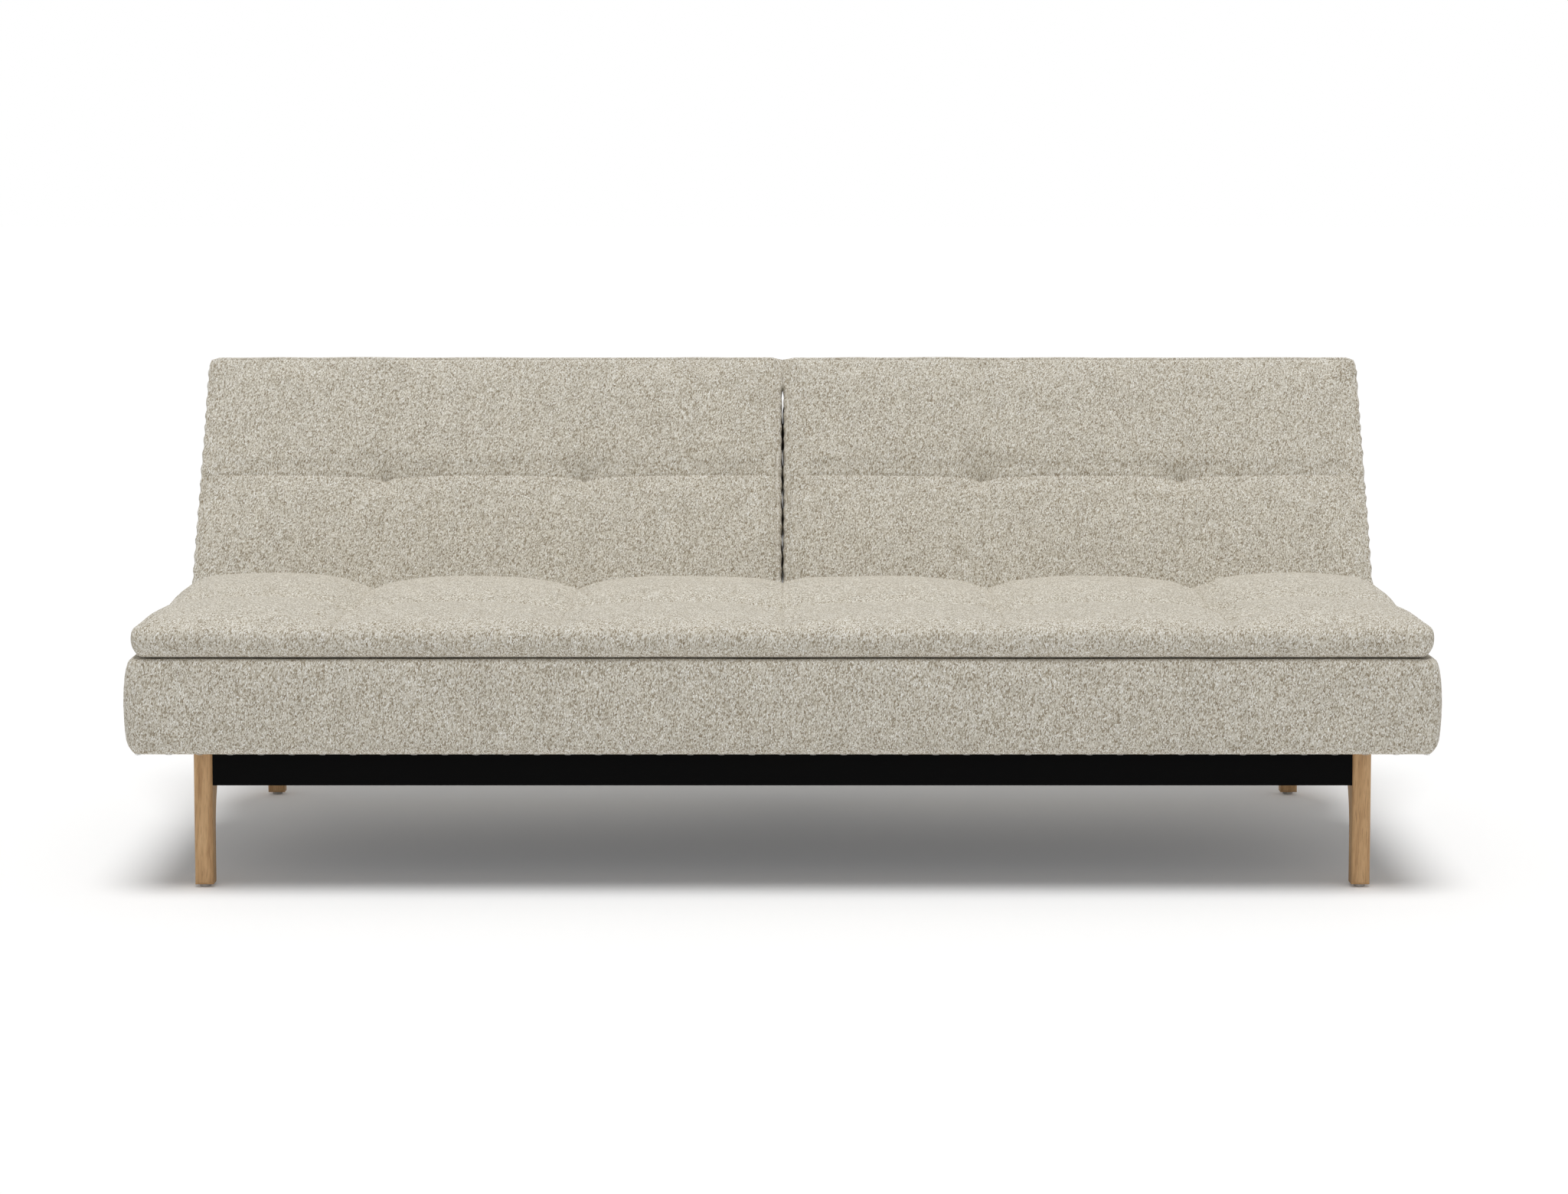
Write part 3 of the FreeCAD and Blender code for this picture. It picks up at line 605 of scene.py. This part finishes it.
def seat_cover():
    """The box under the pad: bulged ends, a soft lower edge turned under the frame, and open below.

    Gives back the rows of staples along the middle of the edge that is turned under.
    """
    low, high = box_low, box_high
    half_x, half_y = half_sizes(low, high)
    tall = high.z - low.z
    centre_y = (high.y + low.y) / 2
    radius = 26 * mm
    start_x, start_y = 17 * mm, 11 * mm
    wall_end = 32 * mm
    wall = 12 * mm
    top_wall = 8 * mm
    staples_end, staples_side = 26 * mm, 10.9 * mm
    loops = [
        (start_x, start_y, tall, 1.0),
        (13.4 * mm, 7.6 * mm, tall - 0.8 * mm, 1.0),
        (10.4 * mm, 4.8 * mm, tall - 3.4 * mm, 1.0),
        (8 * mm, 3 * mm, tall - 8 * mm, 1.0),
        (5.4 * mm, 1.9 * mm, tall - 17 * mm, 1.0),
        (2.8 * mm, 0.8 * mm, tall - 32 * mm, 0.5),
        (0.9 * mm, 0.2 * mm, tall - 53 * mm, 0.0),
        (0, 0, 78 * mm, 0.0),
        (0.5 * mm, 0.1 * mm, 57 * mm, 0.0),
        (1.8 * mm, 0.5 * mm, 37 * mm, 0.0),
        (3.8 * mm, 1.2 * mm, 22 * mm, 0.0),
        (7 * mm, 2.6 * mm, 12 * mm, 0.0),
        (11 * mm, 4.8 * mm, 5.8 * mm, 0.0),
        (15.5 * mm, 7.4 * mm, 2.2 * mm, 0.0),
        (21 * mm, 9.8 * mm, 0.4 * mm, 0.0),
        (wall_end, wall, 0.2 * mm, 0.0),
        (wall_end, wall, 50 * mm, 0.0),
        (wall_end, wall, tall - top_wall, 0.0),
    ]

    def height(x, y):
        return tall + soft_noise(x, y, 5.0, 0.13, 1.0 * mm) - 1.0 * mm

    def shape(v):
        if abs(v.y) <= half_y - wall + 0.1 * mm and abs(v.x) <= half_x - wall_end + 0.1 * mm:
            return v
        ripple = soft_noise(v.x, v.y, v.z, 0.09, 1.5 * mm) - 0.9 * mm
        push = Vector((v.x / half_x if abs(v.x) > half_x - 22 * mm else 0, v.y / half_y, 0))
        return v + push * ripple

    lines_x = grid_lines(start_x - half_x, half_x - start_x, 12 * mm, [])
    lines_y = grid_lines(start_y - half_y, half_y - start_y, 12 * mm, [])
    piece = upholstered("seat_box_cover", half_x, half_y, radius, lines_x, lines_y, loops, height, shape)
    place = Matrix.Translation((0, centre_y, low.z))
    finish_piece(piece, "chassis", "boucle", ["seat_cover"], place)
    row_x, row_y = half_x - staples_end, half_y - staples_side
    rows = [[(x, y, 0) for x in steps(-row_x, row_x)] for y in (-row_y, row_y)]
    rows += [[(x, y, 0) for y in steps(-row_y, row_y)] for x in (-row_x, row_x)]
    return all_placed(place, rows)


def lying_box(name):
    """A node's lowest and highest corner, with the back turned down to lie flat round its hinge."""
    turn = Matrix.Rotation(-rest_angle, 3, "X")
    points = [turn @ (v.co - hinge_point) for v in frame["nodes"][name].data.vertices]
    low = Vector([min(p[i] for p in points) for i in range(3)])
    high = Vector([max(p[i] for p in points) for i in range(3)])
    return low, high


def meet_other_back(v, lying, half_x, sign):
    """Bulge the soft border of a back past its frame towards the other back, except near the top.

    Both borders carry the same waves round the hinge axis, so that they lie close side by side at any angle.
    """
    bulge = smooth((abs(v.x) - half_x + 10 * mm) / (8 * mm))
    wave = border_wave * math.sin(math.hypot(lying.y, lying.z) / (4.4 * mm))
    drawn_in = top_taper * smooth((lying.y - taper_start) / taper_run)
    return Vector((v.x + bulge * (wave - sign * (border_bulge - drawn_in)), v.y, v.z))


def raised(centre):
    """Takes a back's piece from round its own middle, lying flat, to where it stands at rest."""
    return Matrix.Translation(hinge_point) @ Matrix.Rotation(rest_angle, 4, "X") @ Matrix.Translation(centre)


def back_pad(side):
    """The pad of one back, sewn into two rows of three puffs. Gives back the paths of its seams."""
    sign = 1 if side == "right" else -1
    low, high = lying_box("back_%s_pad" % side)
    half_x, half_y = half_sizes(low, high)
    centre = underside(low, high)
    top = high.z - low.z
    rim = top - 7 * mm
    edge = 11 * mm
    radius = 17 * mm
    tuft_dip, tuft_size = 15 * mm, 26 * mm
    row_crease, cross_crease, crease_width = 1.5 * mm, 2.2 * mm, 2.6 * mm
    seam_y = low.y + 2 * half_y * back_seam_share - centre.y
    seams_x = [sign * seam_from_middle - centre.x, sign * outer_seam_from_middle - centre.x]
    seams_x.sort()
    borders_x = [-half_x - 30 * mm] + seams_x + [half_x + 30 * mm]

    def sway(x):
        """How far the middle seam hangs below its line: most at the tufts."""
        return 5 * mm * max(math.exp(-abs(x - tuft) / (110 * mm)) for tuft in seams_x)

    def lean(y):
        """How far the cross seams run aside as they rise."""
        return 0.012 * sign * (y - seam_y)

    def height(x, y):
        """The puffs' face, drawn down along the seams, at the tufts and to the rim."""
        bent = y - seam_y + sway(x)
        valley = scallop(x, borders_x, 2.6)
        z = top - 3.5 * mm * valley
        z -= 5 * mm * math.exp(-abs(bent) / (42 * mm))
        z -= 1.2 * mm * math.exp(-min(abs(x - s) for s in seams_x) / (16 * mm))
        for k, tuft in enumerate(seams_x):
            z -= pucker(x, bent, tuft, 0.0, tuft_dip, tuft_size, 8, 0.9 + 1.9 * k + sign)
            z -= crease(x - tuft - lean(y), cross_crease, crease_width) * (1.0 if y < seam_y else 0.55)
        z -= crease(bent, row_crease, crease_width)
        z += soft_noise(x + sign, y, 7.0, 0.12, 1.4 * mm)
        gap = min(clear_of(x, -half_x + edge, half_x - edge), clear_of(y, -half_y + edge, half_y - edge))
        blend = 1 - (1 - min(1.0, max(0.0, gap) / (70 * mm))) ** 2.6
        return rim + (z - rim) * blend

    loops = [
        (edge, edge, rim, 1.0),
        (9.6 * mm, 9.6 * mm, rim - 1.6 * mm, 1.0),
        (8.8 * mm, 8.8 * mm, rim - 2.6 * mm, 1.0),
        (7.8 * mm, 7.8 * mm, rim - 1.8 * mm, 1.0),
        (5.4 * mm, 5.4 * mm, rim - 2.6 * mm, 1.0),
        (3.2 * mm, 3.2 * mm, rim - 5.2 * mm, 1.0),
        (1.4 * mm, 1.4 * mm, rim - 9.5 * mm, 0.8),
        (0.4 * mm, 0.4 * mm, rim - 15.5 * mm, 0.5),
        (0.0 * mm, 0.0 * mm, rim - 22 * mm, 0.3),
        (0.4 * mm, 0.4 * mm, rim - 28.5 * mm, 0.0),
        (1.8 * mm, 1.8 * mm, rim - 34.5 * mm, 0.0),
        (4.2 * mm, 4.2 * mm, rim - 40 * mm, 0.0),
        (7.6 * mm, 7.6 * mm, rim - 44.5 * mm, 0.0),
        (12 * mm, 12 * mm, 0.4 * mm, 0.0),
    ]

    def shape(v):
        """Small puckers where the border is gathered along its seam."""
        if abs(v.x) < half_x - 6 * mm:
            ripple = soft_noise(v.x, v.y, v.z, 0.09, 1.2 * mm) - 0.6 * mm
            return Vector((v.x, v.y + math.copysign(ripple, v.y), v.z))
        near_front = smooth((v.z - 18 * mm) / (20 * mm))
        fold = math.sin(v.y / (4.3 * mm) + 3 * noise.noise(Vector((v.y * 14, sign, 0))))
        ripple = -0.9 * mm * (1 + fold) * near_front + soft_noise(v.x, v.y, v.z, 0.05, 0.7 * mm) - 0.4 * mm
        if sign * v.x < 0:
            ripple -= top_taper * smooth((v.y + centre.y - taper_start) / taper_run)
        return Vector((v.x + math.copysign(ripple, v.x), v.y, v.z))

    def free_at(v):
        if v.z < rim - 12 * mm:
            return 0.0
        from_seam = min(abs(v.x - seam) for seam in seams_x + [half_x - edge, edge - half_x])
        return min(from_seam, abs(v.y - seam_y), half_y - edge - abs(v.y))

    lines_x = grid_lines(-half_x + edge, half_x - edge, 7 * mm, seams_x)
    lines_y = grid_lines(-half_y + edge, half_y - edge, 6 * mm, [seam_y])
    name = "back_%s_cushion" % side
    piece = upholstered(name, half_x, half_y, radius, lines_x, lines_y, loops, height, shape)
    draw_in(piece, half_y, -1, pad_draw_in)
    plump(piece, free_at, 1.8 * mm)
    place = raised(centre)
    finish_piece(piece, "back_" + side, "boucle", ["back_%s_pad" % side], place)
    row_seam = [(x, seam_y - sway(x)) for x in steps(edge - half_x, half_x - edge)]
    seams = [[(x, y, height(x, y) + thread) for x, y in row_seam]]
    for seam in seams_x:
        ys = steps(thread_end - half_y, seam_y)
        seams.append([(seam + lean(y), y, height(seam + lean(y), y) + thread) for y in ys])
    return all_placed(place, seams)


def cut_away(piece, cutters):
    """Take boxes, given by two corners each, out of a piece that lies flat round the hinge."""
    for low, high in cutters:
        cutter = new_object("cutter", *box_mesh(low, high), smooth_shading=False)
        close_and_face_outwards(cutter.data)
        cut = piece.modifiers.new("cut", "BOOLEAN")
        cut.operation = "DIFFERENCE"
        cut.solver = "EXACT"
        cut.object = cutter
        shaped = bpy.data.meshes.new_from_object(piece.evaluated_get(bpy.context.evaluated_depsgraph_get()))
        piece.modifiers.clear()
        piece.data = shaped
        piece.data.set_sharp_from_angle(angle=math.radians(50))
        bpy.data.objects.remove(cutter)


def box_mesh(low, high):
    corners = [(x, y, z) for x in (low.x, high.x) for y in (low.y, high.y) for z in (low.z, high.z)]
    faces = [(0, 1, 3, 2), (4, 6, 7, 5), (0, 4, 5, 1), (2, 3, 7, 6), (0, 2, 6, 4), (1, 5, 7, 3)]
    return [Vector(c) for c in corners], faces


def back_cover(side):
    """Border and rear of the back, open towards the pad, with a slot for each hinge bracket."""
    sign = 1 if side == "right" else -1
    low, high = lying_box("back_%s_cover" % side)
    half_x, half_y = half_sizes(low, high)
    centre = underside(low, high)
    deep = high.z - low.z
    radius = 22 * mm
    start_x, start_y = 15 * mm, 14 * mm
    wall_end = 12 * mm
    wall = 8 * mm
    crown_run = 90 * mm
    loops = [
        (start_x, start_y, 0.0, 1.0),
        (12.5 * mm, 11 * mm, -0.8 * mm, 1.0),
        (10 * mm, 8.4 * mm, -2.8 * mm, 1.0),
        (7 * mm, 5.8 * mm, -6 * mm, 0.6),
        (4.4 * mm, 3.6 * mm, -10.5 * mm, 0.0),
        (2.4 * mm, 1.9 * mm, -17 * mm, 0.0),
        (0.8 * mm, 0.6 * mm, -28 * mm, 0.0),
        (0, 0, -42 * mm, 0.0),
        (0.3 * mm, 0.2 * mm, -56 * mm, 0.0),
        (1.1 * mm, 0.8 * mm, -70 * mm, 0.0),
        (2.4 * mm, 1.8 * mm, -80 * mm, 0.0),
        (4.4 * mm, 3.2 * mm, -87 * mm, 0.0),
        (6.6 * mm, 4.8 * mm, -91.5 * mm, 0.0),
        (8.6 * mm, 6.4 * mm, -deep + 0.6 * mm, 0.0),
        (wall_end, wall, -deep, 0.0),
        (wall_end, wall, -50 * mm, 0.0),
        (wall_end, wall, -wall, 0.0),
    ]

    def height(x, y):
        crown_x = 1 - max(0.0, 1 - (half_x - start_x - abs(x)) / crown_run) ** 2
        crown_y = 1 - max(0.0, 1 - (half_y - start_y - abs(y)) / crown_run) ** 2
        return (soft_noise(x + 3, y, 9.0, 0.14, 1.2 * mm) - 0.7 * mm) * crown_x * crown_y

    def shape(v):
        if abs(v.y) <= half_y - wall + 0.1 * mm and abs(v.x) <= half_x - wall_end + 0.1 * mm:
            return v
        if sign * v.x < 0 and abs(v.x) > half_x - 10 * mm:
            return meet_other_back(v, Vector((v.x, v.y, -v.z)) + centre, half_x, sign)
        ripple = soft_noise(v.x + 5, v.y, v.z, 0.08, 1.2 * mm) - 0.7 * mm
        push = Vector((v.x / half_x if abs(v.x) > half_x - 14 * mm else 0, v.y / half_y, 0))
        return v + push * ripple

    lines_x = grid_lines(start_x - half_x, half_x - start_x, 12 * mm, [])
    lines_y = grid_lines(start_y - half_y, half_y - start_y, 12 * mm, [])
    name = "back_%s_border" % side
    piece = upholstered(name, half_x, half_y, radius, lines_x, lines_y, loops, height, shape)
    slots = []
    for end in ("inner", "outer"):
        arm_low, arm_high = lying_box("back_%s_%s_arm" % (side, end))
        middle = (arm_low.x + arm_high.x) / 2 - centre.x
        slots.append((
            Vector((middle - hinge_slot_half, -half_y - cutter_out, -hinge_slot_deep)),
            Vector((middle + hinge_slot_half, hinge_slot_top - centre.y, cutter_out)),
        ))
    cut_away(piece, slots)
    place = raised(centre) @ Matrix.Scale(-1, 4, (0, 0, 1))
    finish_piece(piece, "back_" + side, "boucle", ["back_%s_cover" % side], place)


# Stitches and staples


def repeat_tree():
    """Lays one bent thread or wire after another along a path."""
    tree = bpy.data.node_groups.new("repeat_along_path", "GeometryNodeTree")
    wanted = [
        ("Spacing", "NodeSocketFloat"), ("Length", "NodeSocketFloat"), ("Thickness", "NodeSocketFloat"),
        ("Rise", "NodeSocketFloat"), ("Up", "NodeSocketVector"), ("Unevenness", "NodeSocketFloat"),
        ("Seed", "NodeSocketInt"), ("Material", "NodeSocketMaterial"),
    ]
    tree.interface.new_socket("Geometry", in_out="INPUT", socket_type="NodeSocketGeometry")
    for label, kind in wanted:
        tree.interface.new_socket(label, in_out="INPUT", socket_type=kind)
    tree.interface.new_socket("Geometry", in_out="OUTPUT", socket_type="NodeSocketGeometry")

    def add(kind, **values):
        made = tree.nodes.new(kind)
        for key, value in values.items():
            setattr(made, key, value)
        return made

    def join(a, b):
        tree.links.new(a, b)

    given = add("NodeGroupInput").outputs
    path = add("GeometryNodeMeshToCurve")
    join(given["Geometry"], path.inputs["Mesh"])
    spots = add("GeometryNodeCurveToPoints", mode="LENGTH")
    join(path.outputs["Curve"], spots.inputs["Curve"])
    join(given["Spacing"], spots.inputs["Length"])
    along = add("FunctionNodeAlignRotationToVector", axis="X")
    join(spots.outputs["Tangent"], along.inputs["Vector"])
    upright = add("FunctionNodeAlignRotationToVector", axis="Z", pivot_axis="X")
    join(along.outputs["Rotation"], upright.inputs["Rotation"])
    join(given["Up"], upright.inputs["Vector"])
    chance = add("FunctionNodeRandomValue", data_type="FLOAT")
    join(given["Unevenness"], chance.inputs["Max"])
    join(given["Seed"], chance.inputs["Seed"])
    swing = add("ShaderNodeCombineXYZ")
    join(chance.outputs["Value"], swing.inputs["Z"])
    turned = add("FunctionNodeEulerToRotation")
    join(swing.outputs["Vector"], turned.inputs["Euler"])
    uneven = add("FunctionNodeRotateRotation", rotation_space="LOCAL")
    join(upright.outputs["Rotation"], uneven.inputs["Rotation"])
    join(turned.outputs["Rotation"], uneven.inputs["Rotate By"])

    half = add("ShaderNodeMath", operation="MULTIPLY")
    join(given["Length"], half.inputs[0])
    half.inputs[1].default_value = 0.5
    minus = add("ShaderNodeMath", operation="MULTIPLY")
    join(given["Length"], minus.inputs[0])
    minus.inputs[1].default_value = -0.5
    left, right, top = add("ShaderNodeCombineXYZ"), add("ShaderNodeCombineXYZ"), add("ShaderNodeCombineXYZ")
    join(minus.outputs[0], left.inputs["X"])
    join(half.outputs[0], right.inputs["X"])
    join(given["Rise"], top.inputs["Z"])
    bow = add("GeometryNodeCurveQuadraticBezier")
    bow.inputs["Resolution"].default_value = 4
    join(left.outputs["Vector"], bow.inputs["Start"])
    join(top.outputs["Vector"], bow.inputs["Middle"])
    join(right.outputs["Vector"], bow.inputs["End"])
    section = add("GeometryNodeCurvePrimitiveCircle", mode="RADIUS")
    section.inputs["Resolution"].default_value = 6
    join(given["Thickness"], section.inputs["Radius"])
    wire = add("GeometryNodeCurveToMesh")
    wire.inputs["Fill Caps"].default_value = True
    join(bow.outputs["Curve"], wire.inputs["Curve"])
    join(section.outputs["Curve"], wire.inputs["Profile Curve"])
    placed = add("GeometryNodeInstanceOnPoints")
    join(spots.outputs["Points"], placed.inputs["Points"])
    join(wire.outputs["Mesh"], placed.inputs["Instance"])
    join(uneven.outputs["Rotation"], placed.inputs["Rotation"])
    real = add("GeometryNodeRealizeInstances")
    join(placed.outputs["Instances"], real.inputs["Geometry"])
    painted = add("GeometryNodeSetMaterial")
    join(real.outputs["Geometry"], painted.inputs["Geometry"])
    join(given["Material"], painted.inputs["Material"])
    join(painted.outputs["Geometry"], add("NodeGroupOutput").inputs["Geometry"])
    return tree


def repeat_along(name, paths, body, slot, **inputs):
    """One mesh of stitches or staples along several paths."""
    vertices = [v for path in paths for v in path]
    edges = []
    start = 0
    for path in paths:
        edges += [(start + i, start + i + 1) for i in range(len(path) - 1)]
        start += len(path)
    mesh = bpy.data.meshes.new(name)
    mesh.from_pydata([tuple(v) for v in vertices], edges, [])
    piece = bpy.data.objects.new(name, mesh)
    bpy.context.scene.collection.objects.link(piece)
    modifier = piece.modifiers.new("repeat", "NODES")
    modifier.node_group = along_path
    inputs["Material"] = materials[slot]
    for item in along_path.interface.items_tree:
        if item.in_out == "INPUT" and item.name in inputs:
            modifier[item.identifier] = inputs[item.name]
    piece.update_tag()
    made = bpy.data.meshes.new_from_object(piece.evaluated_get(bpy.context.evaluated_depsgraph_get()))
    piece.modifiers.clear()
    piece.data = made
    finish_piece(piece, body, slot)


def stitches(name, paths, body, up):
    repeat_along(
        name, paths, body, "boucle", Spacing=6 * mm, Length=3.6 * mm, Thickness=0.45 * mm, Rise=0.8 * mm,
        Up=up, Unevenness=0.12, Seed=3
    )


def staples(name, paths, body, up):
    repeat_along(
        name, paths, body, "zinc_steel", Spacing=48 * mm, Length=10 * mm, Thickness=0.4 * mm, Rise=0.9 * mm,
        Up=up, Unevenness=0.2, Seed=8
    )


along_path = repeat_tree()
stitches("seat_pad_stitches", seat_pad(), "chassis", (0, 0, 1))
staples("seat_cover_staples", seat_cover(), "chassis", (0, 0, -1))
forward = Matrix.Rotation(rest_angle, 3, "X") @ Vector((0, 0, 1))
for side in ("left", "right"):
    back_cover(side)
    stitches("back_%s_stitches" % side, back_pad(side), "back_" + side, tuple(forward))


# Floor, light and camera


# How strongly the floor glows to the camera, and how bright the room is as a light and to look at
floor_glow = 0.1
room_light = 0.36
room_seen = 1.0

# Where the camera stands in metres, how far it is tilted down in degrees, and its lens
camera_place = (0.0025, -5.352, 1.194)
camera_tilt = 3.985
camera_lens = 71.6
camera_shift = -0.15


def studio():
    """A wide pale floor in an evenly lit white room."""
    size = 40
    corners = [(-size, -size, 0), (size, -size, 0), (size, size, 0), (-size, size, 0)]
    floor = new_object("floor", corners, [(0, 1, 2, 3)])
    material, tree, bsdf = shader("floor_paint", (0.95, 0.95, 0.95), 0.9)
    bsdf.inputs["Specular IOR Level"].default_value = 0.0
    seen = node(tree, "ShaderNodeLightPath")
    bsdf.inputs["Emission Color"].default_value = (1, 1, 1, 1)
    glow = node(tree, "ShaderNodeMath", operation="MULTIPLY")
    tree.links.new(seen.outputs["Is Camera Ray"], glow.inputs[0])
    glow.inputs[1].default_value = floor_glow
    tree.links.new(glow.outputs[0], bsdf.inputs["Emission Strength"])
    floor.data.materials.append(material)

    world = bpy.data.worlds.new("studio")
    bpy.context.scene.world = world
    world.use_nodes = True
    tree = world.node_tree
    background = tree.nodes["Background"]
    path = node(tree, "ShaderNodeLightPath")
    direct = node(tree, "ShaderNodeMath", operation="MAXIMUM")
    tree.links.new(path.outputs["Is Camera Ray"], direct.inputs[0])
    tree.links.new(path.outputs["Is Glossy Ray"], direct.inputs[1])
    strength = node(tree, "ShaderNodeMix", data_type="FLOAT")
    tree.links.new(direct.outputs[0], strength.inputs[0])
    strength.inputs[2].default_value = room_light
    strength.inputs[3].default_value = room_seen
    tree.links.new(strength.outputs[0], background.inputs["Strength"])
    background.inputs["Color"].default_value = (1, 1, 1, 1)


def overhead_light():
    """A wide soft light from above and a little in front."""
    light = bpy.data.lights.new("overhead", "SUN")
    light.energy = 1.95
    light.angle = math.radians(28)
    lamp = bpy.data.objects.new("overhead", light)
    bpy.context.scene.collection.objects.link(lamp)
    lamp.rotation_euler = (math.radians(10), 0, 0)


def camera():
    """A long lens well in front of the sofa, tilted a little down."""
    lens = bpy.data.cameras.new("camera")
    lens.sensor_width = 36
    lens.lens = camera_lens
    lens.shift_y = camera_shift
    lens.clip_end = 100
    eye = bpy.data.objects.new("camera", lens)
    bpy.context.scene.collection.objects.link(eye)
    eye.location = camera_place
    eye.rotation_euler = (math.radians(90 - camera_tilt), 0, 0)
    bpy.context.scene.camera = eye


studio()
overhead_light()
camera()
bpy.context.scene.view_settings.view_transform = "Standard"
